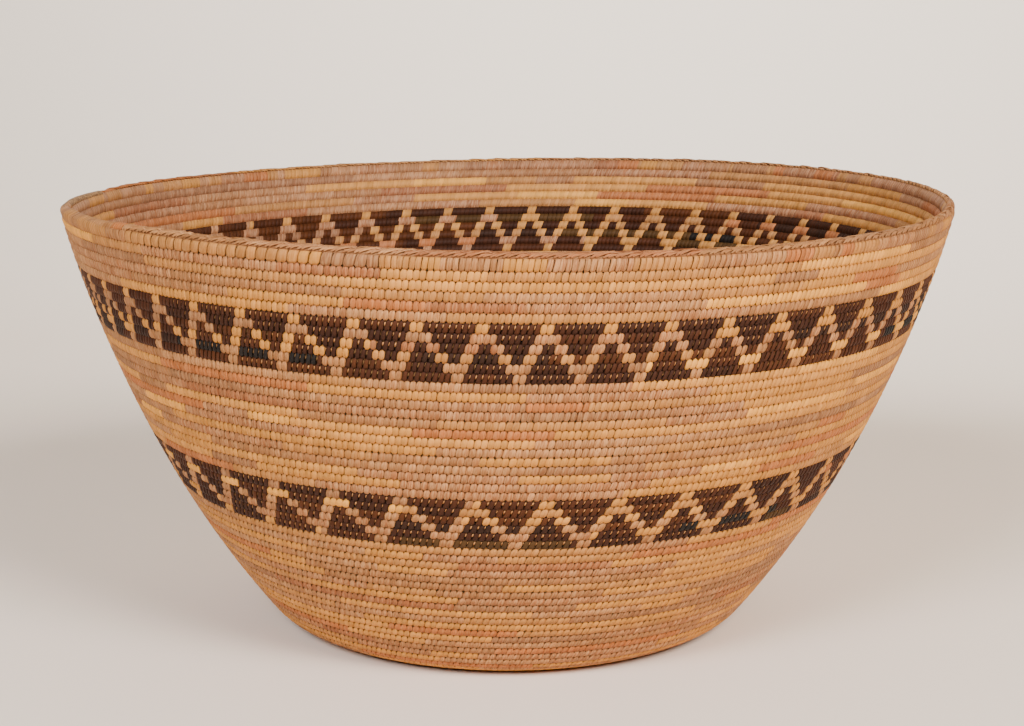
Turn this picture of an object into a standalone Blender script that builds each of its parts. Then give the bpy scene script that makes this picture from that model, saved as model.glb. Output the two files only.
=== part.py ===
"""Coiled basket bowl in the Western Mono manner, in metres, +Z up, standing on z = 0.

One bundle of grass stalks winds from the centre of the base to the rim as a single spiral, and root
strands sew each turn to the one below. The coil is made here in lengths: a new length starts wherever
the sewing changes, and on the two patterned bands that is at every turn. Each length is a true stretch
of the spiral, so it climbs one pitch in each turn and ends in a step, which the next length meets.
"""

import math

import bmesh
import bpy

# The coil, sewn
COIL_PITCH = 0.0045  # from one turn to the next, along the wall
COIL_THICKNESS = 0.0054  # through the wall, over the crests of the turns
GROOVE_DEPTH = 0.0009  # how far the joint between two turns lies below their crests
JOINT_GAP = 0.0003  # clearance between two lengths of the coil

# Turns of the coil in each length, from the centre of the base to the rim
KNOT_TURNS = 1
INNER_BASE_TURNS = 11
OUTER_BASE_TURNS = 11
HEEL_TURNS = 2
LOWER_WALL_TURNS = (7, 6, 6)
LOWER_BAND_TURNS = 6
MIDDLE_WALL_TURNS = (5, 4, 4)
UPPER_BAND_TURNS = 6
UPPER_WALL_TURNS = 5

# The bowl's outline: how far the wall leans out from upright, easing from the heel to the rim
LEAN_AT_HEEL = math.radians(39.6)
LEAN_AT_RIM = math.radians(17.0)
LEAN_EASE = 1.4

# The rim: the coil's end thins out, and a braided strand covers the last turn
COIL_END_TAPER = 0.12  # length over which the last turn thins out
COIL_END_SHARE = 0.1  # height left at its very end, as a share of the pitch
BRAID_HEIGHT = 0.0026
BRAID_PROUD = 0.0005  # how far the braid stands out past the wall on either side
BRAID_FLATS = 6  # flats across its rounded top

# Where every length starts and ends, seen from above, and how finely the curves are cut
SEAM_ANGLE = math.radians(170)
STEPS_IN_A_TURN = 24  # flats in one turn of the coil
OUTLINE_STEP = COIL_PITCH / 8  # along the bowl's outline
SHARP_EDGE = math.radians(50)  # edges that turn by more than this are shown as edges

# Surface colours as linear RGB
LIGHT_ROOT = (0.58, 0.35, 0.18)
DARK_ROOT = (0.09, 0.045, 0.02)
RIM_ROOT = (0.52, 0.26, 0.12)

base_turns = KNOT_TURNS + INNER_BASE_TURNS + OUTER_BASE_TURNS
plain_wall_turns = sum(LOWER_WALL_TURNS) + sum(MIDDLE_WALL_TURNS) + UPPER_WALL_TURNS
wall_turns = plain_wall_turns + LOWER_BAND_TURNS + UPPER_BAND_TURNS + 1
flat_radius = (base_turns + 0.5) * COIL_PITCH
heel_length = HEEL_TURNS * COIL_PITCH
heel_radius = heel_length / (math.pi / 2 - LEAN_AT_HEEL)
wall_length = wall_turns * COIL_PITCH
corner_spread = 2 / (1 + math.cos(math.pi / STEPS_IN_A_TURN))  # corners as far out as the flats are in


def lean_at(run):
    """How far the outside leans out from upright, a given run from the centre of the base."""
    if run <= flat_radius:
        return math.pi / 2
    if run <= flat_radius + heel_length:
        return math.pi / 2 - (run - flat_radius) / heel_radius
    up = min(1.0, (run - flat_radius - heel_length) / wall_length)
    return LEAN_AT_RIM + (LEAN_AT_HEEL - LEAN_AT_RIM) * (1 - up) ** LEAN_EASE


def bowl_outline():
    """(radius, height) of the outside at even steps of its run, to just past the braid."""
    radius, height = flat_radius, 0.0
    outline = [(radius, height)]
    past_braid = heel_length + wall_length + COIL_PITCH + BRAID_HEIGHT
    for count in range(math.ceil(past_braid / OUTLINE_STEP)):
        lean = lean_at(flat_radius + (count + 0.5) * OUTLINE_STEP)
        radius += OUTLINE_STEP * math.sin(lean)
        height += OUTLINE_STEP * math.cos(lean)
        outline.append((radius, height))
    return outline


outline = bowl_outline()


def wall_point(run, depth, angle):
    """A corner at a run up the bowl and a depth inward from the crests of the turns.

    The flats of a turn pass inside the true circle, so their corners stand outside it by as much.
    """
    if run <= flat_radius:
        radius, height = run, 0.0
    else:
        count, share = divmod((run - flat_radius) / OUTLINE_STEP, 1)
        low, high = outline[int(count)], outline[int(count) + 1]
        radius = low[0] + share * (high[0] - low[0])
        height = low[1] + share * (high[1] - low[1])
    lean = lean_at(run)
    radius = (radius - depth * math.cos(lean)) * corner_spread
    height += depth * math.sin(lean)
    return (radius * math.cos(angle), radius * math.sin(angle), height)


def coil_angle(turn):
    """The coil climbs clockwise seen from above, so it rises to the left seen from outside."""
    return SEAM_ANGLE - 2 * math.pi * turn


def end_angle(turn, run):
    """The coil's angle at the end of a length, drawn back by the gap to the length that follows."""
    return coil_angle(turn) + JOINT_GAP / run


def add_part(name, points, faces, material):
    """Make one closed solid in the basket's collection."""
    mesh = bpy.data.meshes.new(name)
    mesh.from_pydata(points, [], faces)
    shape = bmesh.new()
    shape.from_mesh(mesh)
    bmesh.ops.recalc_face_normals(shape, faces=shape.faces)
    shape.to_mesh(mesh)
    shape.free()
    mesh.shade_smooth()
    mesh.set_sharp_from_angle(angle=SHARP_EDGE)
    mesh.materials.append(material)
    part = bpy.data.objects.new(name, mesh)
    basket.objects.link(part)
    return part


def coil_length(name, first, turns, material, ribs_outside=True, thinning=lambda turn: 1.0):
    """A stretch of the coil from turn number first, its turns joined to one another.

    Its ribs stand on both faces of the wall, and only inside on the base, whose underside is worn flat.
    """
    steps = STEPS_IN_A_TURN
    last = turns * steps
    points = []

    def point(turn, run, depth, ends_here):
        angle = end_angle(turn, run) if ends_here else coil_angle(turn)
        points.append(wall_point(run, depth, angle))
        return len(points) - 1

    def edge_lines(depth):
        """The lower and upper edges of the turns on one face of the wall, sharing points inside the length."""
        lower, upper = [], []
        for i in range(last + 1):
            turn = first + i / steps
            topmost = turns > 1 and i == last
            run = turn * COIL_PITCH - (JOINT_GAP if topmost else 0.0)
            lower.append(point(turn, run, depth, i == last))
        for i in range(last + 1):
            if turns > 1 and i + steps <= last:
                upper.append(lower[i + steps])
                continue
            turn = first + i / steps
            run = (turn + thinning(turn)) * COIL_PITCH - JOINT_GAP
            upper.append(point(turn, run, depth, i == last))
        return lower, upper

    def crest_line(depth):
        """The middle line of the turns, on their crests."""
        crest = []
        for i in range(last + 1):
            turn = first + i / steps
            run = (turn + 0.5 * thinning(turn)) * COIL_PITCH
            crest.append(point(turn, run, depth, i == last))
        return crest

    def ribbed_faces(lower, crest, upper):
        """Two faces in each step, from groove to crest to groove."""
        ribs = []
        for i in range(last):
            ribs.append((lower[i], lower[i + 1], crest[i + 1], crest[i]))
            ribs.append((crest[i], crest[i + 1], upper[i + 1], upper[i]))
        return ribs

    inner_lower, inner_upper = edge_lines(COIL_THICKNESS - GROOVE_DEPTH)
    inner_crest = crest_line(COIL_THICKNESS)
    faces = ribbed_faces(inner_lower, inner_crest, inner_upper)
    if ribs_outside:
        outer_lower, outer_upper = edge_lines(GROOVE_DEPTH)
        outer_crest = crest_line(0.0)
        faces += ribbed_faces(outer_lower, outer_crest, outer_upper)
    else:
        outer_lower, outer_upper = edge_lines(0.0)
        faces += plain_faces(outer_lower, outer_upper, turns)
    for i in range(steps):
        faces.append((outer_lower[i], inner_lower[i], inner_lower[i + 1], outer_lower[i + 1]))
    for i in range(last - steps, last):
        faces.append((outer_upper[i], outer_upper[i + 1], inner_upper[i + 1], inner_upper[i]))
    for i in (0, last):
        end = [inner_lower[i], inner_crest[i], inner_upper[i], outer_upper[i], outer_lower[i]]
        if ribs_outside:
            end.insert(4, outer_crest[i])
        faces.append(tuple(end))
    return add_part(name, points, faces, material)


def plain_faces(lower, upper, turns):
    """The flat underside of a length, in faces that span all its turns, with the seam's points kept."""
    steps = STEPS_IN_A_TURN
    first_top = (turns - 1) * steps
    faces = []
    for i in range(steps):
        face = [lower[i], lower[i + 1], upper[first_top + i + 1], upper[first_top + i]]
        if turns > 1 and i == 0:
            face += [lower[turn * steps] for turn in range(turns - 1, 0, -1)]
        if turns > 1 and i == steps - 1:
            face[2:2] = [lower[turn * steps] for turn in range(2, turns + 1)]
        faces.append(tuple(face))
    return faces


def start_knot(name, material):
    """The tight first turn, which has no hole at its centre: its outline is the spiral's own."""
    turns = [KNOT_TURNS + i / STEPS_IN_A_TURN for i in range(STEPS_IN_A_TURN + 1)]
    points = [(0.0, 0.0, 0.0), (0.0, 0.0, COIL_THICKNESS)]
    for turn in turns:
        run = turn * COIL_PITCH - JOINT_GAP
        angle = end_angle(turn, run) if turn == turns[-1] else coil_angle(turn)
        points.append(wall_point(run, 0.0, angle))
        points.append(wall_point(run, COIL_THICKNESS - GROOVE_DEPTH, angle))
    count = len(turns)
    faces = []
    for i in range(count):
        low, high = 2 + 2 * i, 3 + 2 * i
        next_low, next_high = 2 + 2 * ((i + 1) % count), 3 + 2 * ((i + 1) % count)
        faces.append((0, next_low, low))
        faces.append((1, high, next_high))
        faces.append((low, next_low, next_high, high))
    return add_part(name, points, faces, material)


def coil_end_thinning(turn):
    """Height of the last turn as a share of the pitch: full, then thinning to the coil's end."""
    left = (total_turns - turn) * 2 * math.pi * wall_radius_at_rim / COIL_END_TAPER
    return min(1.0, COIL_END_SHARE + (1 - COIL_END_SHARE) * left)


def rim_braid(name, material):
    """The braided strand: a rounded cap laid along the top of the last turn, all the way round."""
    half_width = COIL_THICKNESS / 2 + BRAID_PROUD
    section = []
    for flat in range(BRAID_FLATS + 1):
        over = math.pi * flat / BRAID_FLATS
        section.append((BRAID_HEIGHT * math.sin(over), COIL_THICKNESS / 2 - half_width * math.cos(over)))
    points = []
    for i in range(STEPS_IN_A_TURN, 0, -1):
        turn = total_turns - 1 + i / STEPS_IN_A_TURN
        top_of_coil = (turn + coil_end_thinning(turn)) * COIL_PITCH
        for rise, depth in section:
            points.append(wall_point(top_of_coil + rise, depth, coil_angle(turn)))
    sides = len(section)
    faces = []
    for i in range(STEPS_IN_A_TURN):
        here, beyond = i * sides, (i + 1) % STEPS_IN_A_TURN * sides
        for side in range(sides):
            after = (side + 1) % sides
            faces.append((here + side, here + after, beyond + after, beyond + side))
    return add_part(name, points, faces, material)


def root_material(name, colour, roughness):
    """Split root has a dull sheen."""
    material = bpy.data.materials.new(name)
    material.use_nodes = True
    shader = material.node_tree.nodes["Principled BSDF"]
    shader.inputs["Base Color"].default_value = (*colour, 1.0)
    shader.inputs["Roughness"].default_value = roughness
    shader.inputs["Metallic"].default_value = 0.0
    return material


for old in list(bpy.data.objects):
    bpy.data.objects.remove(old)
basket = bpy.data.collections.new("coiled_basket")
bpy.context.scene.collection.children.link(basket)

light_root = root_material("light_root", LIGHT_ROOT, 0.6)
dark_root = root_material("dark_root", DARK_ROOT, 0.55)
rim_root = root_material("rim_root", RIM_ROOT, 0.6)

total_turns = base_turns + HEEL_TURNS + wall_turns
wall_radius_at_rim = math.hypot(*wall_point(total_turns * COIL_PITCH, 0.0, 0.0)[:2])

start_knot("start_knot", light_root)
turn_number = KNOT_TURNS
coil_length("inner_base_coils", turn_number, INNER_BASE_TURNS, light_root, ribs_outside=False)
turn_number += INNER_BASE_TURNS
coil_length("outer_base_coils", turn_number, OUTER_BASE_TURNS, light_root, ribs_outside=False)
turn_number += OUTER_BASE_TURNS
coil_length("heel_coils", turn_number, HEEL_TURNS, light_root)
turn_number += HEEL_TURNS
for number, turns in enumerate(LOWER_WALL_TURNS, 1):
    coil_length(f"lower_wall_coils_{number}", turn_number, turns, light_root)
    turn_number += turns
for number in range(1, LOWER_BAND_TURNS + 1):
    coil_length(f"lower_band_turn_{number}", turn_number, 1, dark_root)
    turn_number += 1
for number, turns in enumerate(MIDDLE_WALL_TURNS, 1):
    coil_length(f"middle_wall_coils_{number}", turn_number, turns, light_root)
    turn_number += turns
for number in range(1, UPPER_BAND_TURNS + 1):
    coil_length(f"upper_band_turn_{number}", turn_number, 1, dark_root)
    turn_number += 1
coil_length("upper_wall_coils", turn_number, UPPER_WALL_TURNS, light_root)
turn_number += UPPER_WALL_TURNS
coil_length("rim_coil", turn_number, 1, rim_root, thinning=coil_end_thinning)
rim_braid("rim_braid", rim_root)
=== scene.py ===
import math
import random

import bmesh
import bpy
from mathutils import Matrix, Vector


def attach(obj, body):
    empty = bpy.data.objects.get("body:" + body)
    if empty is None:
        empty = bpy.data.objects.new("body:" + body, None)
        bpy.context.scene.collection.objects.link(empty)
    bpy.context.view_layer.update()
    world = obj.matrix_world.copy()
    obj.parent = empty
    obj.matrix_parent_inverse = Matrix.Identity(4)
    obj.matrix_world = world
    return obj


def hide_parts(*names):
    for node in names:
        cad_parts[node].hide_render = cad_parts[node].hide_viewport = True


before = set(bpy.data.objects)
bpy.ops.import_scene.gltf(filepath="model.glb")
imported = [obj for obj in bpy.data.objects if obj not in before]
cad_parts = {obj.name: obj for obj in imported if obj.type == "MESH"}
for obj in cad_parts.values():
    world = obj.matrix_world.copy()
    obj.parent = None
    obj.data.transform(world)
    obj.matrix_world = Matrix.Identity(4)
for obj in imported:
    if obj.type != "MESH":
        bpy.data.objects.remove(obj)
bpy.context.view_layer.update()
scene = bpy.context.scene


# The bowl's line
# The maker lays the coil course upon course, by eye, from the centre of the base to the rim. The wall
# springs from the flat base through a tight heel, leans out strongly at first and stands up towards the
# rim. A dried basket is never quite true: this one sank a little, most in front and at the front right.

COIL_PITCH = 0.0045  # from one course to the next
COIL_THICKNESS = 0.0054  # through the wall, over the stitches
BASE_COURSES = 23
HEEL_COURSES = 2
WALL_COURSES = 50
ALL_COURSES = BASE_COURSES + HEEL_COURSES + WALL_COURSES
HEEL_SPREAD = 2.0 * COIL_PITCH  # how much earlier the heel starts to bend than in the CAD, and ends later
HEEL_TIGHT = 0.952  # its courses lie closer, so the wall stays in place
LEAN_AT_HEEL = math.radians(39.6)  # out from upright, before the heel's own bend
LEAN_AT_RIM = math.radians(17.0)
LEAN_EASE = 1.4  # the lean fades faster low on the wall than high up
LINE_STEPS = 8  # points of the bowl's line in a course
LINE_PAST_RIM = 3  # courses that the line runs on past the rim, for the braid
COIL_START_ANGLE = math.radians(170)
START_CURL = 0.4  # turns: how far the coil's start curls into its own middle
RIM_SINK = 0.0013  # the rim sank this much on the whole
RIM_BACK_RISE = 0.0011  # tips up at the back and down in front
RIM_RIGHT_RISE = 0.0004
RIM_TWIST = 0.0012  # up at the back right and front left, down at the other two
RIM_SADDLE = 0.0006  # up at the sides, down in front and at the back
STAND = 0.00012  # the bowl stands on its proudest stitches, with the rest just off the floor
SIDE_PULL = 0.0012  # the rim is drawn in this much at the left and right
SIDE_PULL_FROM = 0.8  # of the height
COIL_END_TAPER = 0.12  # the coil thins out over this length, at its end
COIL_END_SHARE = 0.1  # of its full height, to which it thins

flat_radius = (BASE_COURSES + 0.5) * COIL_PITCH
heel_length = HEEL_COURSES * COIL_PITCH
wall_length = WALL_COURSES * COIL_PITCH
heel_start = flat_radius - HEEL_SPREAD
heel_end = flat_radius + heel_length + HEEL_SPREAD
line_step = COIL_PITCH / LINE_STEPS


def wall_lean(run):
    """How far the wall leans out from upright, a given run from the centre of the base."""
    up = min(1.0, (run - flat_radius - heel_length) / wall_length)
    return LEAN_AT_RIM + (LEAN_AT_HEEL - LEAN_AT_RIM) * (1 - up) ** LEAN_EASE


def lean_at(run):
    """The lean of the base, the heel or the wall."""
    if run >= heel_end:
        return wall_lean(run)
    bent = max(0.0, (run - heel_start) / (heel_end - heel_start))
    return math.pi / 2 - bent * (math.pi / 2 - wall_lean(heel_end))


bowl_line = [(heel_start, 0.0)]
line_length = heel_end - heel_start + wall_length + LINE_PAST_RIM * COIL_PITCH
for count in range(math.ceil(line_length / line_step)):
    middle_run = heel_start + (count + 0.5) * line_step
    step = line_step * (HEEL_TIGHT if middle_run < heel_end else 1.0)
    bowl_line.append((bowl_line[-1][0] + step * math.sin(lean_at(middle_run)),
                      bowl_line[-1][1] + step * math.cos(lean_at(middle_run))))
rim_height = bowl_line[math.floor((ALL_COURSES * COIL_PITCH - heel_start) / line_step)][1]


def on_bowl(run, depth, angle):
    """A point at a run up the bowl and a depth inward from the crests of the coil, warped as it dried."""
    if run <= heel_start:
        radius, height = run, 0.0
    else:
        count, share = divmod((run - heel_start) / line_step, 1)
        low, high = bowl_line[int(count)], bowl_line[int(count) + 1]
        radius = low[0] + share * (high[0] - low[0])
        height = low[1] + share * (high[1] - low[1])
    lean = lean_at(run)
    radius -= depth * math.cos(lean)
    height += depth * math.sin(lean)
    drawn_in = max(0.0, (height / rim_height - SIDE_PULL_FROM) / (1 - SIDE_PULL_FROM))
    radius -= SIDE_PULL * drawn_in ** 2 * math.cos(angle) ** 4
    warp = RIM_BACK_RISE * math.sin(angle) + RIM_RIGHT_RISE * math.cos(angle) - RIM_SINK
    warp += RIM_TWIST * math.sin(2 * angle) + RIM_SADDLE * math.cos(2 * angle)
    height += STAND + warp * height / rim_height
    return Vector((radius * math.cos(angle), radius * math.sin(angle), height))


def coil_angle(turn):
    """The coil climbs clockwise seen from above, so it rises to the left seen from outside."""
    return COIL_START_ANGLE - 2 * math.pi * turn


def coil_radius(turn):
    """The radius of the coil's middle line at a turn."""
    middle = on_bowl((turn + 0.5) * COIL_PITCH, COIL_THICKNESS / 2, 0.0)
    return math.hypot(middle.x, middle.y)


def turn_length(turn):
    """The way round the bowl along the coil, at a turn."""
    return 2 * math.pi * coil_radius(turn)


def coil_share(turn):
    """The coil's height as a share of the pitch: full, then thinning to its end at the rim."""
    left = (ALL_COURSES - turn) * turn_length(ALL_COURSES) / COIL_END_TAPER
    return min(1.0, COIL_END_SHARE + (1 - COIL_END_SHARE) * left)


def outward(run, angle):
    """The way out of the wall, square to it."""
    lean = lean_at(run)
    return Vector((math.cos(lean) * math.cos(angle), math.cos(lean) * math.sin(angle), -math.sin(lean)))


# The grass bundle
# One bundle of split grass stalks, about 4 mm through and 60 m long, wound as a single spiral. It is
# hidden under the sewing, and shows only in the small gaps between the strands.

BUNDLE_THICKNESS = 0.0042
BUNDLE_STEPS = 72  # in a turn
BUNDLE_SIDES = 8
STALK_BREADTH = 0.0012
# Darker than the dry stalks are: painted shade, for where the bundle shows in the gaps under the sewing
STALK_TONES = ((0.35, "#5A3A1E"), (0.65, "#A87C4A"))


def linear(code):
    """An sRGB colour code as linear RGBA."""
    parts = [int(code[i:i + 2], 16) / 255 for i in (1, 3, 5)]
    return tuple(c / 12.92 if c <= 0.04045 else ((c + 0.055) / 1.055) ** 2.4 for c in parts) + (1.0,)


def add_node(tree, kind, settings=(), inputs=(), stops=()):
    """Add a node with its settings, each input set to a value or linked to a socket, and a ramp's stops."""
    node = tree.nodes.new(kind)
    for name, value in dict(settings).items():
        setattr(node, name, value)
    for name, value in dict(inputs).items():
        if isinstance(value, bpy.types.NodeSocket):
            tree.links.new(value, node.inputs[name])
        else:
            node.inputs[name].default_value = value
    while stops and len(node.color_ramp.elements) < len(stops):
        node.color_ramp.elements.new(0.5)
    for count, (start, colour) in enumerate(stops):
        node.color_ramp.elements[count].position = start
        node.color_ramp.elements[count].color = colour
    return node


def new_material(name):
    """A material with its tree and its shader, ready for nodes."""
    material = bpy.data.materials.new(name)
    material.use_nodes = True
    tree = material.node_tree
    tree.nodes.clear()
    shader = add_node(tree, "ShaderNodeBsdfPrincipled")
    add_node(tree, "ShaderNodeOutputMaterial", inputs={"Surface": shader.outputs["BSDF"]})
    return material, tree, shader


def new_tree(name, sockets):
    """A tree of Geometry Nodes with named inputs, what it is given, and where its result goes."""
    tree = bpy.data.node_groups.new(name, "GeometryNodeTree")
    tree.interface.new_socket("Geometry", in_out="INPUT", socket_type="NodeSocketGeometry")
    for socket, kind in sockets.items():
        tree.interface.new_socket(socket, in_out="INPUT", socket_type=kind)
    tree.interface.new_socket("Geometry", in_out="OUTPUT", socket_type="NodeSocketGeometry")
    return tree, tree.nodes.new("NodeGroupInput").outputs, tree.nodes.new("NodeGroupOutput").inputs


def finished_piece(name, source, tree, values, slot, *nodes):
    """Run a tree on a mesh with its inputs set, keep the plain mesh, and stand it for its CAD nodes."""
    piece = bpy.data.objects.new(name, source)
    scene.collection.objects.link(piece)
    modifier = piece.modifiers.new("making", "NODES")
    modifier.node_group = tree
    for item in tree.interface.items_tree:
        if item.in_out == "INPUT" and item.name in values:
            modifier[item.identifier] = values[item.name]
    graph = bpy.context.evaluated_depsgraph_get()
    made = bpy.data.meshes.new_from_object(piece.evaluated_get(graph), preserve_all_data_layers=True,
                                           depsgraph=graph)
    piece.modifiers.remove(modifier)
    piece.data = made
    made.name = name
    made.shade_smooth()
    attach(piece, "root")
    if nodes:
        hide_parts(*nodes)


def marked_points(name, rows, edges=()):
    """A mesh with a point for each row, which keeps what else the row says as attributes."""
    mesh = bpy.data.meshes.new(name)
    mesh.from_pydata([row["place"] for row in rows], edges, [])
    for key, first in rows[0].items():
        if key == "place":
            continue
        if isinstance(first, float):
            mesh.attributes.new(key, "FLOAT", "POINT").data.foreach_set("value", [row[key] for row in rows])
        else:
            flat = [part for row in rows for part in row[key]]
            mesh.attributes.new(key, "FLOAT_VECTOR", "POINT").data.foreach_set("vector", flat)
    return mesh


# Dry grass, its straw painted a dull dark brown for the shade of the sewing over it, with each stalk a
# little lighter or darker
grass, tree, shader = new_material("dry_grass")
place = add_node(tree, "ShaderNodeTexCoord").outputs["Object"]
stalks = add_node(tree, "ShaderNodeTexNoise", inputs={
    "Vector": place, "Scale": 1.0 / STALK_BREADTH, "Detail": 2.0})
tone = add_node(tree, "ShaderNodeValToRGB", inputs={"Fac": stalks.outputs["Fac"]}, stops=[
    (start, linear(code)) for start, code in STALK_TONES])
tree.links.new(tone.outputs["Color"], shader.inputs["Base Color"])
shader.inputs["Roughness"].default_value = 0.85
shader.inputs["IOR"].default_value = 1.45

# Lays a strand or a bundle of even section along a path, its flat side turned outward. The ring is 1 m
# across, so that its scale is the strand's size.
lay_tree, given, result = new_tree("lay_along", {
    "Thickness": "NodeSocketFloat", "Breadth": "NodeSocketFloat", "Sides": "NodeSocketInt",
    "Material": "NodeSocketMaterial"})
out = add_node(lay_tree, "GeometryNodeInputNamedAttribute", {"data_type": "FLOAT_VECTOR"}, {"Name": "out"})
line = add_node(lay_tree, "GeometryNodeMeshToCurve", inputs={"Mesh": given["Geometry"]})
faced = add_node(lay_tree, "GeometryNodeSetCurveNormal", {"mode": "FREE"}, {
    "Curve": line.outputs["Curve"], "Normal": out.outputs["Attribute"]})
ring = add_node(lay_tree, "GeometryNodeCurvePrimitiveCircle", inputs={
    "Radius": 0.5, "Resolution": given["Sides"]})
section_size = add_node(lay_tree, "ShaderNodeCombineXYZ", inputs={
    "X": given["Thickness"], "Y": given["Breadth"], "Z": 1.0})
section = add_node(lay_tree, "GeometryNodeTransform", inputs={
    "Geometry": ring.outputs["Curve"], "Scale": section_size.outputs[0]})
tube = add_node(lay_tree, "GeometryNodeCurveToMesh", inputs={
    "Curve": faced.outputs["Curve"], "Profile Curve": section.outputs["Geometry"], "Fill Caps": True})
real = add_node(lay_tree, "GeometryNodeRealizeInstances", inputs={"Geometry": tube.outputs["Mesh"]})
done = add_node(lay_tree, "GeometryNodeSetMaterial", inputs={
    "Geometry": real.outputs["Geometry"], "Material": given["Material"]})
lay_tree.links.new(done.outputs["Geometry"], result["Geometry"])

rows = []
for step in range(-round(START_CURL * BUNDLE_STEPS), ALL_COURSES * BUNDLE_STEPS + 1):
    turn = step / BUNDLE_STEPS
    run = (turn + 0.5 * coil_share(turn)) * COIL_PITCH
    rows.append({"place": on_bowl(run, COIL_THICKNESS / 2, coil_angle(turn)),
                 "out": outward(run, coil_angle(turn))})
path = marked_points("bundle_path", rows, [(i, i + 1) for i in range(len(rows) - 1)])
finished_piece("grass_bundle", path, lay_tree, {
    "Thickness": BUNDLE_THICKNESS, "Breadth": BUNDLE_THICKNESS, "Sides": BUNDLE_SIDES, "Material": grass},
    "light_root")


# The plain sewing
# Root split into flat strands and worked wet. Each stitch passes over the bundle, down the inside,
# through the top of the course below and out between two of its stitches, pulled tight. A strand lasts
# for a few dozen stitches, and each has its own tone: straw, tan, pinkish or now and then orange.

MM = 0.001  # the fine sizes of strands and stitches are given in mm
STITCH_SLIP = 0.16  # of a stitch: how far a column of stitches slips back in each course
STRAND_THICKNESS = 0.45  # mm, at its edges
STRAND_FLAT = 0.7  # the share of its breadth that lies flat
LIGHT_BREADTH = 1.22  # a light strand's breadth against the room it has, so neighbours touch
THIN_DEPTH = 0.5  # the depth of a stitch if the coil thinned to nothing, against its full depth
START_STITCHES = 12  # a turn, in the curled start
LEAST_STITCHES = 4  # in a turn
MOST_STITCHES = 2200  # in one piece: a longer length is made in two pieces, so that its mesh stays light
FIBRES_ACROSS = 7
FIBRE_LENGTH = 6.0  # mm
FIBRE_SHIFT = 91.0  # far enough that each stitch has its own fibres
INSIDE_RUN = (8.0, 9.8)  # mm along a stitch, where it turns over the bundle to the inside of the bowl
INSIDE_LIGHT_TINT = (0.92, 0.97, 1.25, 1.0)  # painted light, for the cooler light inside the bowl: less red, more blue
LOWER_WALL_TONES = (0.12, 1.0)  # the lower wall is browner: it has none of the palest strands

# The loop round the bundle. In mm: up the wall and outward; as shares of the breadth: how broad the
# strand is there, and how far on along the coil, because it leans to the next stitch.
LOOP = ((-3.05, 1.6, 0.2, -0.17), (-2.65, 2.25, 0.56, -0.15), (-1.6, 2.62, 0.98, -0.09),
        (0.5, 2.68, 1.0, 0.04), (1.4, 2.32, 0.8, 0.1), (2.1, 1.6, 0.36, 0.15), (2.1, -2.25, 1.2, 0.18),
        (-0.1, -2.7, 1.25, 0.42), (-2.35, -2.2, 1.2, 0.66))

# On the lower wall the stitches lean a little more, and each is narrower beside the next one's hole
LOWER_LOOP = ((-3.05, 1.6, 0.2, -0.24), (-2.65, 2.25, 0.6, -0.21), (-1.6, 2.62, 0.98, -0.13),
              (0.3, 2.68, 1.0, 0.03), (1.3, 2.32, 0.7, 0.14), (2.1, 1.5, 0.3, 0.2)) + LOOP[6:]
LOWER_FLAT = 0.74

# The lengths of the coil that are sewn plain: the CAD node, its first turn, how many turns it has, and
# the room for a stitch in mm, which the maker let grow and shrink from length to length
PLAIN_LENGTHS = (("start_knot", 0, 1, 2.7), ("inner_base_coils", 1, 11, 2.7),
                 ("outer_base_coils", 12, 11, 2.7), ("heel_coils", 23, 2, 2.6),
                 ("lower_wall_coils_1", 25, 7, 2.66), ("lower_wall_coils_2", 32, 6, 2.72),
                 ("lower_wall_coils_3", 38, 6, 2.78),
                 ("middle_wall_coils_1", 50, 5, 2.87), ("middle_wall_coils_2", 55, 4, 2.66),
                 ("middle_wall_coils_3", 59, 4, 2.45), ("upper_wall_coils", 69, 5, 2.5))


class Strands:
    """Root strands taken up one after another, each long enough for a run of stitches."""

    def __init__(self, seed, shortest, longest, tones=(0.0, 1.0)):
        self.chance = random.Random(seed)
        self.shortest, self.longest, self.tones = shortest, longest, tones
        self.left = 0
        self.tone = 0.0

    def next_stitch(self):
        """The tone of the strand in hand and a number of the stitch's own, each from 0 to 1."""
        if self.left == 0:
            self.left = self.chance.randint(self.shortest, self.longest)
            self.tone = self.chance.uniform(*self.tones)
        self.left -= 1
        return self.tone, self.chance.random()


def strand_model(name, points, faces, places):
    """A closed model of strands, shaded smooth, which keeps each point's place on its strand."""
    mesh = bpy.data.meshes.new(name)
    mesh.from_pydata(points, [], faces)
    shape = bmesh.new()
    shape.from_mesh(mesh)
    bmesh.ops.recalc_face_normals(shape, faces=shape.faces)
    shape.to_mesh(mesh)
    shape.free()
    mesh.shade_smooth()
    kept = mesh.attributes.new("strand_place", "FLOAT_VECTOR", "POINT")
    kept.data.foreach_set("vector", [part for place in places for part in place])
    made = bpy.data.objects.new(name, mesh)
    scene.collection.objects.link(made)
    return made


def side_faces(here, beyond):
    """The four faces between two rings of four points, which start at these points."""
    return [(here + side, here + (side + 1) % 4, beyond + (side + 1) % 4, beyond + side)
            for side in range(4)]


def stitch_loop(name, loop, flat=STRAND_FLAT):
    """One stitch, 1 m broad, so that its scale along the coil is its breadth."""
    count = len(loop)
    middle = Vector((sum(p[0] for p in loop) / count, sum(p[1] for p in loop) / count))
    points, faces, places, run = [], [], [], 0.0
    for i, (up, out, broad, onward) in enumerate(loop):
        here, before, after = Vector((up, out)), Vector(loop[i - 1][:2]), Vector(loop[(i + 1) % count][:2])
        along = (after - before).normalized()
        square = Vector((-along.y, along.x))
        if square.dot(here - middle) < 0:
            square = -square
        sunk = here - square * STRAND_THICKNESS
        for side, at in ((-1, sunk), (-flat, here), (flat, here), (1, sunk)):
            points.append((side * broad / 2 + onward, at.x * MM, at.y * MM))
            places.append((side, run, 0.0))
        faces += side_faces(4 * i, 4 * ((i + 1) % count))
        run += (after - here).length
    return strand_model(name, points, faces, places)


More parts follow.
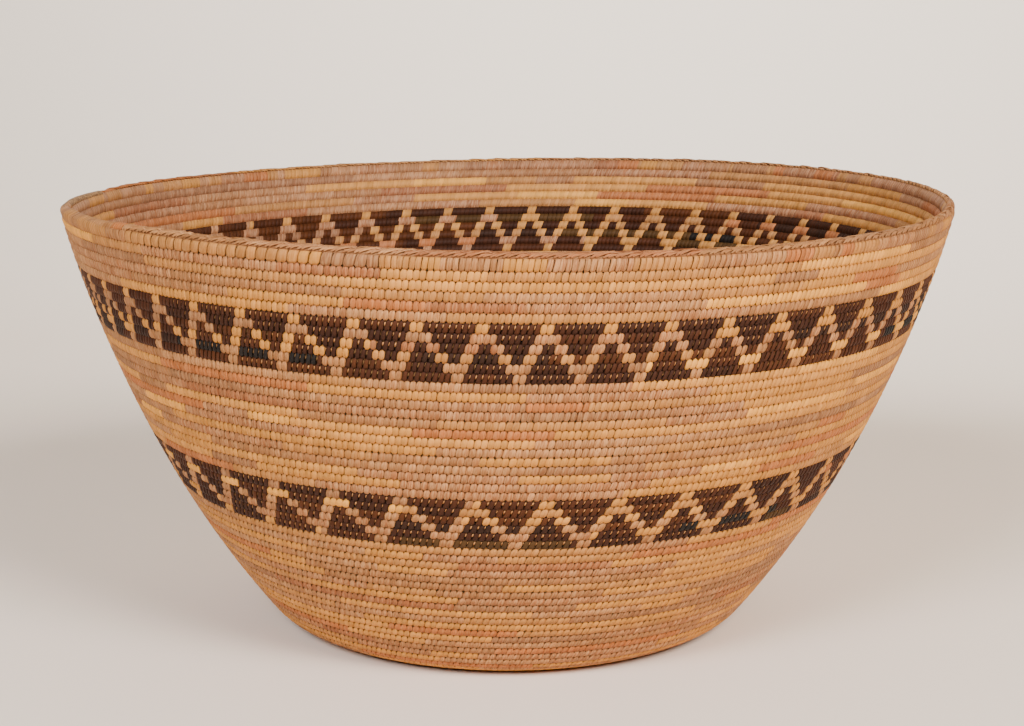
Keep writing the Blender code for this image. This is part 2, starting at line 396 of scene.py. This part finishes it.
def stitch_at(turn, breadth, strands, dark=0.0, slide=0.0):
    """What the sewing tree needs for one stitch at a turn of the coil."""
    share = coil_share(turn)
    angle = coil_angle(turn) + slide
    run = (turn + 0.5 * share) * COIL_PITCH
    strand, stitch = strands.next_stitch()
    return {"place": on_bowl(run, COIL_THICKNESS / 2, angle), "out": outward(run, angle),
            "along": (-math.sin(angle), math.cos(angle), 0.0), "strand": strand, "stitch": stitch,
            "size": (breadth, share, THIN_DEPTH + (1 - THIN_DEPTH) * share), "dark": dark}


def sewn_turns(first, turns, in_a_turn, strands):
    """The stitches of plain turns, each one a little back from the one below it."""
    pace = 1 / (in_a_turn - STITCH_SLIP)
    rows = []
    turn = first + pace / 2
    while turn < first + turns:
        breadth = turn_length(turn) * pace
        rows.append(stitch_at(turn, breadth * LIGHT_BREADTH, strands))
        turn += pace
    return rows


# Split root, sun-browned: dull, with a faint skin sheen, and finely fibrous along the strand. Pinkish
# strands show rusty and grey fibres. Each strand darkens towards its edges into a soft dark line: painted
# shade, for the grooves where neighbouring strands meet.
# The fibres are drawn about 0.4 mm wide, coarser than the real ones, so that they show. Inside the bowl
# the sewing is tinted greyer and bluer: painted light, for the cooler light that falls inside.
light_root, tree, shader = new_material("split_root")
strand = add_node(tree, "ShaderNodeAttribute", {"attribute_name": "strand"}).outputs["Fac"]
stitch = add_node(tree, "ShaderNodeAttribute", {"attribute_name": "stitch"}).outputs["Fac"]
place = add_node(tree, "ShaderNodeAttribute", {"attribute_name": "strand_place"}).outputs["Vector"]
# Each tone: where it starts, its colour, and how strongly other fibres show in it
LIGHT_TONES = ((0.0, "#E59D3D", 0.14), (0.06, "#CC893A", 0.16), (0.20, "#C48232", 0.20),
               (0.36, "#B57836", 0.26), (0.51, "#B47B45", 0.45), (0.62, "#AC7140", 0.52),
               (0.75, "#A06A39", 0.36), (0.86, "#92623A", 0.36), (0.92, "#B0632B", 0.28),
               (0.97, "#98592F", 0.36))
# The other fibres' colours, from their darkest to their lightest
FIBRE_TONES = ((0.4, "#7A3E1C"), (0.6, "#BE8C5E"))
tone = add_node(tree, "ShaderNodeValToRGB", inputs={"Fac": strand}, stops=[
    (start, linear(code)) for start, code, grain in LIGHT_TONES])
tone.color_ramp.interpolation = "CONSTANT"
grain = add_node(tree, "ShaderNodeValToRGB", inputs={"Fac": strand}, stops=[
    (start, (grain, grain, grain, 1.0)) for start, code, grain in LIGHT_TONES])
grain.color_ramp.interpolation = "CONSTANT"
split = add_node(tree, "ShaderNodeSeparateXYZ", inputs={"Vector": place})
across = add_node(tree, "ShaderNodeMath", {"operation": "MULTIPLY"}, {
    0: split.outputs["X"], 1: FIBRES_ACROSS / 2})
lengthwise = add_node(tree, "ShaderNodeMath", {"operation": "MULTIPLY"}, {
    0: split.outputs["Y"], 1: 1 / FIBRE_LENGTH})
own = add_node(tree, "ShaderNodeMath", {"operation": "MULTIPLY"}, {0: stitch, 1: FIBRE_SHIFT})
fibre_place = add_node(tree, "ShaderNodeCombineXYZ", inputs={
    "X": across.outputs[0], "Y": lengthwise.outputs[0], "Z": own.outputs[0]})
fibre = add_node(tree, "ShaderNodeTexNoise", inputs={
    "Vector": fibre_place.outputs[0], "Scale": 1.0, "Detail": 2.0, "Roughness": 0.6})
fibre_tone = add_node(tree, "ShaderNodeValToRGB", inputs={"Fac": fibre.outputs["Fac"]}, stops=[
    (start, linear(code)) for start, code in FIBRE_TONES])
grained = add_node(tree, "ShaderNodeMix", {"data_type": "RGBA"}, {
    0: grain.outputs["Color"], 6: tone.outputs["Color"], 7: fibre_tone.outputs["Color"]})
stitch_tone = add_node(tree, "ShaderNodeMapRange", inputs={"Value": stitch, "To Min": 0.84, "To Max": 1.13})
# Painted shade: the strand is drawn darker towards its edges, where it sinks between its neighbours
edge = add_node(tree, "ShaderNodeMath", {"operation": "ABSOLUTE"}, {0: split.outputs["X"]})
edge_shade = add_node(tree, "ShaderNodeMapRange", {"interpolation_type": "SMOOTHSTEP"}, {
    "Value": edge.outputs[0], "From Min": 0.7, "From Max": 1.0, "To Min": 1.0, "To Max": 0.45})
both = add_node(tree, "ShaderNodeMath", {"operation": "MULTIPLY"}, {
    0: stitch_tone.outputs["Result"], 1: edge_shade.outputs["Result"]})
coloured = add_node(tree, "ShaderNodeVectorMath", {"operation": "SCALE"}, {
    0: grained.outputs[2], "Scale": both.outputs[0]})
# Painted light: where the stitch runs inside the bowl, its colour is tinted less red and more blue
inside = add_node(tree, "ShaderNodeMapRange", inputs={
    "Value": split.outputs["Y"], "From Min": INSIDE_RUN[0], "From Max": INSIDE_RUN[1]})
inside_lit = add_node(tree, "ShaderNodeMix", {"data_type": "RGBA", "blend_type": "MULTIPLY"}, {
    0: inside.outputs["Result"], 6: coloured.outputs["Vector"], 7: INSIDE_LIGHT_TINT})
tree.links.new(inside_lit.outputs[2], shader.inputs["Base Color"])
bump = add_node(tree, "ShaderNodeBump", inputs={
    "Height": fibre.outputs["Fac"], "Strength": 0.3, "Distance": 0.0002})
tree.links.new(bump.outputs["Normal"], shader.inputs["Normal"])
shader.inputs["Roughness"].default_value = 0.7
shader.inputs["IOR"].default_value = 1.4
shader.inputs["Specular IOR Level"].default_value = 0.3

# Sews one stitch on every point: it faces outward, and leans, twists and fills its room unevenly
sew_tree, given, result = new_tree("sew", {
    "Light Stitch": "NodeSocketObject", "Dark Stitch": "NodeSocketObject", "Twist": "NodeSocketFloat",
    "Lean": "NodeSocketFloat", "Uneven Breadth": "NodeSocketFloat", "Uneven Height": "NodeSocketFloat",
    "Seed": "NodeSocketInt", "Light Root": "NodeSocketMaterial", "Dark Root": "NodeSocketMaterial"})
along = add_node(sew_tree, "GeometryNodeInputNamedAttribute", {"data_type": "FLOAT_VECTOR"}, {
    "Name": "along"})
out = add_node(sew_tree, "GeometryNodeInputNamedAttribute", {"data_type": "FLOAT_VECTOR"}, {"Name": "out"})
size = add_node(sew_tree, "GeometryNodeInputNamedAttribute", {"data_type": "FLOAT_VECTOR"}, {"Name": "size"})
dark = add_node(sew_tree, "GeometryNodeInputNamedAttribute", {"data_type": "FLOAT"}, {"Name": "dark"})
is_dark = add_node(sew_tree, "FunctionNodeCompare", {"data_type": "FLOAT", "operation": "GREATER_THAN"}, {
    0: dark.outputs["Attribute"], 1: 0.5})
is_light = add_node(sew_tree, "FunctionNodeBooleanMath", {"operation": "NOT"}, {0: is_dark.outputs[0]})
facing = add_node(sew_tree, "FunctionNodeAxesToRotation", {"primary_axis": "Z", "secondary_axis": "X"}, {
    "Primary Axis": out.outputs["Attribute"], "Secondary Axis": along.outputs["Attribute"]})
most = add_node(sew_tree, "ShaderNodeCombineXYZ", inputs={"X": 0.0, "Y": given["Twist"], "Z": given["Lean"]})
least = add_node(sew_tree, "ShaderNodeVectorMath", {"operation": "SCALE"}, {
    0: most.outputs[0], "Scale": -1.0})
uneven = add_node(sew_tree, "FunctionNodeRandomValue", {"data_type": "FLOAT_VECTOR"}, {
    0: least.outputs["Vector"], 1: most.outputs[0], "Seed": given["Seed"]})
turned = add_node(sew_tree, "FunctionNodeEulerToRotation", inputs={"Euler": uneven.outputs[0]})
placed = add_node(sew_tree, "FunctionNodeRotateRotation", {"rotation_space": "LOCAL"}, {
    "Rotation": facing.outputs[0], "Rotate By": turned.outputs[0]})
more = add_node(sew_tree, "ShaderNodeCombineXYZ", inputs={
    "X": given["Uneven Breadth"], "Y": given["Uneven Height"], "Z": 0.0})
largest = add_node(sew_tree, "ShaderNodeVectorMath", {"operation": "ADD"}, {
    0: (1.0, 1.0, 1.0), 1: more.outputs[0]})
smallest = add_node(sew_tree, "ShaderNodeVectorMath", {"operation": "SUBTRACT"}, {
    0: (1.0, 1.0, 1.0), 1: more.outputs[0]})
spread = add_node(sew_tree, "FunctionNodeRandomValue", {"data_type": "FLOAT_VECTOR"}, {
    0: smallest.outputs[0], 1: largest.outputs[0], "Seed": given["Seed"]})
sized = add_node(sew_tree, "ShaderNodeVectorMath", {"operation": "MULTIPLY"}, {
    0: size.outputs["Attribute"], 1: spread.outputs[0]})
sewn = add_node(sew_tree, "GeometryNodeJoinGeometry")
for stitch_input, chosen in (("Light Stitch", is_light), ("Dark Stitch", is_dark)):
    model = add_node(sew_tree, "GeometryNodeObjectInfo", inputs={"Object": given[stitch_input]})
    stitched = add_node(sew_tree, "GeometryNodeInstanceOnPoints", inputs={
        "Points": given["Geometry"], "Selection": chosen.outputs[0], "Instance": model.outputs["Geometry"],
        "Rotation": placed.outputs[0], "Scale": sized.outputs[0]})
    sew_tree.links.new(stitched.outputs["Instances"], sewn.inputs[0])
real = add_node(sew_tree, "GeometryNodeRealizeInstances", inputs={"Geometry": sewn.outputs[0]})
light = add_node(sew_tree, "GeometryNodeSetMaterial", inputs={
    "Geometry": real.outputs["Geometry"], "Material": given["Light Root"]})
done = add_node(sew_tree, "GeometryNodeSetMaterial", inputs={
    "Geometry": light.outputs["Geometry"], "Selection": is_dark.outputs[0], "Material": given["Dark Root"]})
sew_tree.links.new(done.outputs["Geometry"], result["Geometry"])

light_stitch = stitch_loop("light_stitch", LOOP)
lower_stitch = stitch_loop("lower_stitch", LOWER_LOOP, LOWER_FLAT)
sewing = {"Light Stitch": light_stitch, "Dark Stitch": light_stitch, "Twist": math.radians(4),
          "Lean": math.radians(3), "Uneven Breadth": 0.03, "Uneven Height": 0.02, "Light Root": light_root,
          "Dark Root": light_root}
light_strands = Strands(seed=7, shortest=8, longest=36)
for number, (node, first, turns, room) in enumerate(PLAIN_LENGTHS):
    is_low = node.startswith("lower_wall")
    light_strands.tones = LOWER_WALL_TONES if is_low else (0.0, 1.0)
    if first < BASE_COURSES:
        rows = sewn_turns(-START_CURL, START_CURL, START_STITCHES, light_strands) if first == 0 else []
        for turn in range(first, first + turns):
            in_a_turn = max(LEAST_STITCHES, round(turn_length(turn + 0.5) / (room * MM)))
            rows += sewn_turns(turn, 1, in_a_turn, light_strands)
    else:
        in_a_turn = round(turn_length(first + turns / 2) / (room * MM))
        rows = sewn_turns(first, turns, in_a_turn, light_strands)
    half = (len(rows) + 1) // 2 if len(rows) > MOST_STITCHES else len(rows)
    for part, start in enumerate(range(0, len(rows), half)):
        name = node + "_sewing" + (f"_{part + 1}" if half < len(rows) else "")
        points = marked_points(name + "_holes", rows[start:start + half])
        finished_piece(name, points, sew_tree, {
            **sewing, "Light Stitch": lower_stitch if is_low else light_stitch, "Seed": 2 * number + part},
            "light_root", node)


# The patterned bands
# Six courses each, sewn with light root and with root blackened in mud. Dark triangles stand with their
# points up and down by turns, parted by a light zigzag two stitches wide. The light strand is carried
# along under the dark stitches, and glints between them.

BAND_COURSES = 6
MOTIF_STITCHES = 10
CARRIED_BREADTH = 0.0019
CARRIED_THICKNESS = 0.0005
CARRIED_SIDES = 6
CARRIED_DEPTH = 0.00082  # from the crests of the stitches down to the middle of the carried strand
CARRIED_HIDES = 0.0009  # how much deeper it lies where it doesn't show
CARRIED_EASE = 0.5  # how much of the way up or down it goes from one stitch to the next
CARRIED_RUN = (3, 14)  # stitches for which it shows or hides, from fewest to most
CARRIED_STRAND = 0.55  # the tone of its strand
CARRIED_STITCH = 1.0  # and how light it is, the lightest of its tone
CARRIED_GRAIN = 8  # stitches after which its fibres repeat
# How much of it shows in each course of the upper band, from the lowest up. The lower band has the last.
CARRIED_SHOWS = (0.6, 0.4, 0.5, 0.5, 0.55, 0.95)

# A dark strand leans more and is narrower at its top
DARK_LOOP = ((-3.05, 1.6, 0.45, -0.26), (-2.65, 2.25, 0.8, -0.24), (-1.6, 2.62, 1.0, -0.16),
             (-0.4, 2.7, 0.84, -0.04), (1.4, 2.32, 0.84, 0.17), (2.1, 1.6, 0.74, 0.24)) + LOOP[6:]

# Each band: its first turn, its motifs in a turn, how far on its first stitch starts (in stitches), and
# how unevenly the maker spaced the motifs, as shares of a turn: once round the bowl, twice and so on
BANDS = {"lower_band_turn": (44, 35, 0.4, ((0.00346, 0.00169),)),
         "upper_band_turn": (63, 50, 0.29, ((0.00318, 0.00871), (0.00238, -0.00205), (0.00129, 0.00105),
                                            (0.00103, -0.00094)))}
FIRST_COLUMN = {"lower_band_turn": 4, "upper_band_turn": 5}  # the column of each band's first stitch


def motif_is_dark(course, column):
    """Whether a stitch is dark. The top course is 0, and the light point is between columns 9 and 0."""
    away = min(column, MOTIF_STITCHES - 1 - column)  # 0 beside the light point, 4 at the middle
    return (away > 0, away > 1, away not in (1, 2), away not in (2, 3), away < 3, away < 4)[course]


def motif_slide(place, sway):
    """How far the maker's uneven spacing moves a stitch at a place in the turn, as an angle."""
    slide = 0.0
    for number, (even, odd) in enumerate(sway, 1):
        slide += even * (math.cos(2 * math.pi * number * place) - 1)
        slide += odd * math.sin(2 * math.pi * number * place)
    return 2 * math.pi * slide


# Root blackened in mud: brown to bluish black, a little smoother, with the same painted shade along its
# edges
dark_root, tree, shader = new_material("blackened_root")
DARK_TONES = ((0.0, "#371B0C"), (0.35, "#41200D"), (0.65, "#49250E"), (0.80, "#462E14"), (0.90, "#311B0F"),
              (0.97, "#1D1713"))
strand = add_node(tree, "ShaderNodeAttribute", {"attribute_name": "strand"}).outputs["Fac"]
stitch = add_node(tree, "ShaderNodeAttribute", {"attribute_name": "stitch"}).outputs["Fac"]
place = add_node(tree, "ShaderNodeAttribute", {"attribute_name": "strand_place"}).outputs["Vector"]
tone = add_node(tree, "ShaderNodeValToRGB", inputs={"Fac": strand}, stops=[
    (start, linear(code)) for start, code in DARK_TONES])
tone.color_ramp.interpolation = "CONSTANT"
split = add_node(tree, "ShaderNodeSeparateXYZ", inputs={"Vector": place})
# Painted shade: the strand is drawn darker towards its edges, where it sinks between its neighbours
edge = add_node(tree, "ShaderNodeMath", {"operation": "ABSOLUTE"}, {0: split.outputs["X"]})
edge_shade = add_node(tree, "ShaderNodeMapRange", inputs={
    "Value": edge.outputs[0], "From Min": 0.6, "From Max": 1.0, "To Min": 1.0, "To Max": 0.6})
stitch_tone = add_node(tree, "ShaderNodeMapRange", inputs={"Value": stitch, "To Min": 0.8, "To Max": 1.2})
both = add_node(tree, "ShaderNodeMath", {"operation": "MULTIPLY"}, {
    0: stitch_tone.outputs["Result"], 1: edge_shade.outputs["Result"]})
coloured = add_node(tree, "ShaderNodeVectorMath", {"operation": "SCALE"}, {
    0: tone.outputs["Color"], "Scale": both.outputs[0]})
tree.links.new(coloured.outputs["Vector"], shader.inputs["Base Color"])
shader.inputs["Roughness"].default_value = 0.65
shader.inputs["IOR"].default_value = 1.45
shader.inputs["Specular IOR Level"].default_value = 0.2

dark_stitch = stitch_loop("dark_stitch", DARK_LOOP)
dark_strands = Strands(seed=11, shortest=6, longest=30)
carried_lift = random.Random(5)
for number, (band, (first, motifs, start, sway)) in enumerate(BANDS.items()):
    in_a_turn = motifs * MOTIF_STITCHES
    pace = 1 / (in_a_turn - STITCH_SLIP)
    courses = [[] for course in range(BAND_COURSES)]
    count = 0
    turn = first + (start + 0.5) * pace
    while turn < first + BAND_COURSES:
        course = math.floor(turn) - first
        is_dark = motif_is_dark(BAND_COURSES - 1 - course, (count - FIRST_COLUMN[band]) % MOTIF_STITCHES)
        breadth = turn_length(turn) * pace * (1.0 if is_dark else LIGHT_BREADTH)
        courses[course].append(stitch_at(turn, breadth, dark_strands if is_dark else light_strands,
                                         float(is_dark), motif_slide(turn % 1.0, sway)))
        turn += pace
        count += 1
    for course, rows in enumerate(courses):
        node = f"{band}_{course + 1}"
        shows = CARRIED_SHOWS[course] if band == "upper_band_turn" else CARRIED_SHOWS[-1]
        points = marked_points(node + "_holes", rows)
        finished_piece(node + "_sewing", points, sew_tree, {
            **sewing, "Light Stitch": lower_stitch if band == "lower_band_turn" else light_stitch,
            "Dark Stitch": dark_stitch, "Dark Root": dark_root, "Seed": 50 + 10 * number + course},
            "dark_root", node)
        rows = []
        lift, aim, left = 0.0, 0.0, 0
        for step in range(in_a_turn + 1):
            if left == 0:
                aim = 0.0 if carried_lift.random() < shows else -CARRIED_HIDES
                left = carried_lift.randint(*CARRIED_RUN)
            lift += CARRIED_EASE * (aim - lift)
            left -= 1
            turn = first + course + step / in_a_turn
            angle = coil_angle(turn)
            run = (turn + 0.5) * COIL_PITCH
            rows.append({"place": on_bowl(run, CARRIED_DEPTH - lift, angle), "out": outward(run, angle),
                         "strand": CARRIED_STRAND, "stitch": CARRIED_STITCH,
                         "strand_place": (0.0, step % CARRIED_GRAIN, 0.0)})
        path = marked_points(node + "_carried_path", rows, [(i, i + 1) for i in range(len(rows) - 1)])
        finished_piece(node + "_carried_strand", path, lay_tree, {
            "Thickness": CARRIED_THICKNESS, "Breadth": CARRIED_BREADTH, "Sides": CARRIED_SIDES,
            "Material": light_root}, "light_root")


# The rim
# The last turn is sewn like the rest, with reddish strands, and a strand is braided over its top. The
# braid's limbs come out of small holes on each shoulder and rise aslant to the crest, where they cross.
# At the left, where the coil's end thins out, the strand is only whipped over it, close and slanting.

RIM_FIRST = ALL_COURSES - 1
RIM_STITCHES = 560
BROAD_FROM = 0.761  # the place in the turn where the rim coil's stitches are twice as broad
WHIPPED_FROM = 0.858  # and where the braid gives way to whipping
WHIP_OVERLAP = 0.005  # how far the whipping runs on under the first limbs of the braid
WHIP_SINK = 0.0022  # the whipping is pulled tighter, and lies lower
WHIP_EASE = 0.03  # the share of the turn over which it sinks to that
WHIP_END_SINK = 0.0015  # and lower still over the very end of the coil
WHIP_END_FROM, WHIP_END_TO = 0.9, 0.95  # the places where it sinks to that
BRAID_START_SINK = 0.0009  # the braid starts low beside the end of the coil
BRAID_START_EASE = 0.02  # the share of the turn over which it rises from there
BRAID_THIN = 0.8  # its depth if the coil thinned to nothing, against its full depth
BRAID_HOLES = 280
WHIP_PACE = 0.0019  # from one turn of the whipping to the next
BRAID_ROUND = 2.2  # mm, the radius of its rounded top
BRAID_MIDDLE = 0.2  # mm, the middle of that round, up from the top of the coil
BRAID_CORE = 0.0028  # the thickness of the strands in the middle of the braid, which show as one
CORE_STEPS = 144
CORE_STRAND = 0.9  # the tone of its strand: a dark brown, which also paints shade into the holes between the braid's limbs

# The last turn's stitches are broad at the top, where nothing is sewn into them but the braid
RIM_LOOP = ((-3.05, 1.6, 0.4, -0.17), (-2.65, 2.25, 0.78, -0.15), (-1.6, 2.62, 1.0, -0.09),
            (0.5, 2.68, 1.0, 0.04), (1.5, 2.45, 0.98, 0.1), (2.3, 1.9, 0.9, 0.15),
            (2.8, -1.9, 1.2, 0.18)) + LOOP[7:]
RIM_FLAT = 0.76  # and they lie flatter
RIM_BREADTH = 1.1  # their breadth against the room they have

# A limb of the braid, from its hole to the crest: how far on it is, its place round the top in degrees
# from level, how broad it is, and how far it stands out or is sunk, all in mm but the degrees
LIMB = ((0.0, 12, 0.5, -0.5), (0.3, 26, 0.95, 0.0), (1.5, 46, 1.25, 0.03), (4.0, 67, 1.4, 0.03),
        (6.6, 90, 1.35, 0.0), (8.6, 108, 0.9, -0.4))
SECOND_LIMB = 1.9  # mm, how far on the second limb of the same hole lies
SECOND_TURNED = 5  # degrees, how much further round the top it lies
LIMB_THICKNESS = 0.4  # mm
LIMB_TUCK = 0.16  # mm, how much lower its forward edge lies, tucked under the next limb

# The whipping's strand, from one shoulder over the top to the other, given in the same way
WHIP = ((-2.6, -40, 0.7, -0.7), (-2.0, -24, 1.3, -0.15), (-0.9, 20, 1.45, 0.0), (0.0, 62, 1.5, 0.0),
        (0.9, 108, 1.5, 0.0), (1.8, 152, 1.5, 0.0), (2.6, 200, 1.3, -0.15), (3.0, 220, 0.7, -0.7))


def limb_points(limb, mirrored):
    """The points of a strand that lies on the rim's rounded top, four to a ring, and their places on it.
    Its forward edge is tucked under the next strand along."""
    points, places, run = [], [], 0.0
    for i, (onward, turned, broad, proud) in enumerate(limb):
        before, after = limb[max(0, i - 1)], limb[min(len(limb) - 1, i + 1)]
        way = Vector((after[0] - before[0], math.radians(after[1] - before[1]) * BRAID_ROUND)).normalized()
        for side in (-1, -STRAND_FLAT, STRAND_FLAT, 1):
            forward = -side * broad / 2 * way.y
            round_by = math.radians(turned) + side * broad / 2 * way.x / BRAID_ROUND
            radius = BRAID_ROUND + proud + LIMB_TUCK * side / 2
            if abs(side) == 1:
                radius -= LIMB_THICKNESS
            outward_by = radius * math.cos(round_by) * (-1 if mirrored else 1)
            points.append(((onward + forward) * MM, (BRAID_MIDDLE + radius * math.sin(round_by)) * MM,
                           outward_by * MM))
            places.append((side, run, 0.0))
        run += math.hypot(after[0] - onward, math.radians(after[1] - turned) * BRAID_ROUND)
    return points, places


def braid_strands(name, limbs):
    """A model of the strands that repeat along the rim, each a strand with closed ends."""
    points, places, faces = [], [], []
    for limb, limb_places in limbs:
        first = len(points)
        points += limb
        places += limb_places
        last = len(points) - 4
        for here in range(first, last, 4):
            faces += side_faces(here, here + 4)
        faces += [(first + 3, first + 2, first + 1, first), (last, last + 1, last + 2, last + 3)]
    return strand_model(name, points, faces, places)


def rim_sink(place):
    """How much lower the strand lies than in the full braid, at a place in the last turn."""
    if place < WHIPPED_FROM:
        return BRAID_START_SINK * max(0.0, 1 - place / BRAID_START_EASE)
    whipped = min(1.0, (place - WHIPPED_FROM) / WHIP_EASE)
    ended = min(1.0, max(0.0, (place - WHIP_END_FROM) / (WHIP_END_TO - WHIP_END_FROM)))
    return WHIP_SINK * whipped + WHIP_END_SINK * ended


def on_rim(place, strands):
    """What the sewing tree needs for a strand on top of the coil, at a place in its last turn."""
    turn = RIM_FIRST + place % 1.0
    run = (turn + coil_share(turn)) * COIL_PITCH - rim_sink(place)
    angle = coil_angle(turn)
    strand, stitch = strands.next_stitch()
    return {"place": on_bowl(run, COIL_THICKNESS / 2, angle), "out": outward(run, angle),
            "along": (-math.sin(angle), math.cos(angle), 0.0), "strand": strand, "stitch": stitch,
            "size": (1.0, 1.0, BRAID_THIN + (1 - BRAID_THIN) * coil_share(turn)), "dark": 0.0}


rim_strands = Strands(seed=21, shortest=1, longest=7, tones=(0.3, 1.0))
braid_strand = Strands(seed=23, shortest=4, longest=14, tones=(0.36, 1.0))
rim_stitch = stitch_loop("rim_stitch", RIM_LOOP, RIM_FLAT)
rows = []
place = 0.0
while place < 1.0:
    pace = (2 if BROAD_FROM < place < WHIPPED_FROM else 1) / RIM_STITCHES
    breadth = turn_length(RIM_FIRST) * pace * RIM_BREADTH
    rows.append(stitch_at(RIM_FIRST + place + pace / 2, breadth, rim_strands))
    place += pace
points = marked_points("rim_coil_holes", rows)
finished_piece("rim_coil_sewing", points, sew_tree, {**sewing, "Light Stitch": rim_stitch, "Seed": 90},
               "rim_root", "rim_coil")

second = [(onward + SECOND_LIMB, turned + SECOND_TURNED, broad, proud)
          for onward, turned, broad, proud in LIMB]
braid = braid_strands("braid_limbs", [limb_points(limb, mirrored) for limb in (LIMB, second)
                                      for mirrored in (False, True)])
rows = [on_rim((i + 0.5) / BRAID_HOLES, braid_strand) for i in range(round(WHIPPED_FROM * BRAID_HOLES))]
finished_piece("rim_braid_limbs", marked_points("braid_holes", rows), sew_tree, {
    **sewing, "Light Stitch": braid, "Twist": math.radians(1.5), "Uneven Breadth": 0.05, "Seed": 91},
    "rim_root", "rim_braid")

whip = braid_strands("whip_strand", [limb_points(WHIP, False)])
whip_from = WHIPPED_FROM - WHIP_OVERLAP
whipped = 1 + WHIP_OVERLAP - whip_from
whips = round(whipped * turn_length(ALL_COURSES) / WHIP_PACE)
rows = [on_rim(whip_from + whipped * (i + 0.5) / whips, braid_strand) for i in range(whips)]
finished_piece("rim_whipping", marked_points("whip_holes", rows), sew_tree, {
    **sewing, "Light Stitch": whip, "Twist": math.radians(2), "Uneven Breadth": 0.05, "Seed": 92},
    "rim_root", "rim_braid")

rows = []
for step in range(CORE_STEPS):
    place = step / CORE_STEPS
    turn = RIM_FIRST + place
    run = (turn + coil_share(turn)) * COIL_PITCH - rim_sink(place) + BRAID_MIDDLE * MM
    rows.append({"place": on_bowl(run, COIL_THICKNESS / 2, coil_angle(turn)),
                 "out": outward(run, coil_angle(turn)), "strand": CORE_STRAND, "stitch": 0.0,
                 "strand_place": (0.0, step % CARRIED_GRAIN, 0.0)})
path = marked_points("rim_core_path", rows, [(i, (i + 1) % len(rows)) for i in range(len(rows))])
finished_piece("rim_core", path, lay_tree, {
    "Thickness": BRAID_CORE, "Breadth": BRAID_CORE, "Sides": BUNDLE_SIDES, "Material": light_root},
    "rim_root")

# The models have done their work, and the basket keeps only the strands sewn from them
for model in (light_stitch, lower_stitch, dark_stitch, rim_stitch, braid, whip):
    bpy.data.objects.remove(model)


# The floor and the light
# A pale sweep of paper that rises behind, lit by soft boxes: a strong one at the front right, a weaker
# one at the front left, and two that brighten the paper behind.

SWEEP_DEPTH = 0.75  # behind the middle of the bowl, where the paper starts to rise
SWEEP_ROUND = 0.5  # the radius of its bend
SWEEP_STEPS = 24  # in the bend
SWEEP_HALF = 9.0  # from the middle to each side, and to the front
SWEEP_TOP = 3.5

# Matt cream paper, with no gloss to speak of
paper, tree, shader = new_material("pale_paper")
shader.inputs["Base Color"].default_value = linear("#F4E4D2")
shader.inputs["Roughness"].default_value = 0.9
profile = [(-SWEEP_HALF, 0.0), (SWEEP_DEPTH, 0.0)]
for i in range(1, SWEEP_STEPS + 1):
    bend = math.pi / 2 * i / SWEEP_STEPS
    profile.append((SWEEP_DEPTH + SWEEP_ROUND * math.sin(bend), SWEEP_ROUND - SWEEP_ROUND * math.cos(bend)))
profile.append((SWEEP_DEPTH + SWEEP_ROUND, SWEEP_TOP))
points = [(x, y, z) for y, z in profile for x in (-SWEEP_HALF, SWEEP_HALF)]
faces = [(2 * i, 2 * i + 1, 2 * i + 3, 2 * i + 2) for i in range(len(profile) - 1)]
sweep_mesh = bpy.data.meshes.new("sweep")
sweep_mesh.from_pydata(points, [], faces)
sweep_mesh.shade_smooth()
sweep_mesh.materials.append(paper)
sweep = bpy.data.objects.new("sweep", sweep_mesh)
scene.collection.objects.link(sweep)


def soft_light(name, place, aim, width, power, colour):
    """A square soft box that faces a point."""
    lamp = bpy.data.lights.new(name, "AREA")
    lamp.shape = "SQUARE"
    lamp.size = width
    lamp.energy = power
    lamp.color = linear(colour)[:3]
    box = bpy.data.objects.new(name, lamp)
    box.location = place
    box.rotation_euler = (Vector(aim) - Vector(place)).to_track_quat("-Z", "Y").to_euler()
    scene.collection.objects.link(box)


soft_light("right_box", (0.95, -1.5, 1.3), (0, -0.1, 0.1), 0.7, 63, "#FFFBF7")
soft_light("left_box", (-0.8, -1.6, 1.25), (0, -0.1, 0.1), 0.7, 49, "#F2F6FF")
soft_light("back_box", (0.6, 0.3, 0.75), (0.5, 1.2, 0.9), 0.7, 8.8, "#F4F8FC")
soft_light("back_low_box", (0.0, 0.5, 0.8), (0.0, 1.25, 0.65), 0.6, 6.4, "#F2F8FC")
# A little bluish daylight from the room
world = bpy.data.worlds.new("room")
world.use_nodes = True
world.node_tree.nodes["Background"].inputs["Color"].default_value = linear("#DCE8F4")
world.node_tree.nodes["Background"].inputs["Strength"].default_value = 0.1
scene.world = world


# The camera
# A long lens, a little less than a metre from the middle of the bowl and just above its rim, looking a
# little down on it, as the photograph was taken.

CAMERA_LENS = 67.52
CAMERA_DISTANCE = 0.9285
CAMERA_HEIGHT = 0.2995
CAMERA_ASIDE = 0.0021  # to the right
CAMERA_PITCH = math.radians(10.81)  # down from level

lens = bpy.data.cameras.new("camera")
lens.lens = CAMERA_LENS
lens.sensor_width = 36.0
lens.clip_end = 20.0
camera = bpy.data.objects.new("camera", lens)
camera.location = (CAMERA_ASIDE, -CAMERA_DISTANCE, CAMERA_HEIGHT)
camera.rotation_euler = (math.pi / 2 - CAMERA_PITCH, 0.0, 0.0)
scene.collection.objects.link(camera)
scene.camera = camera
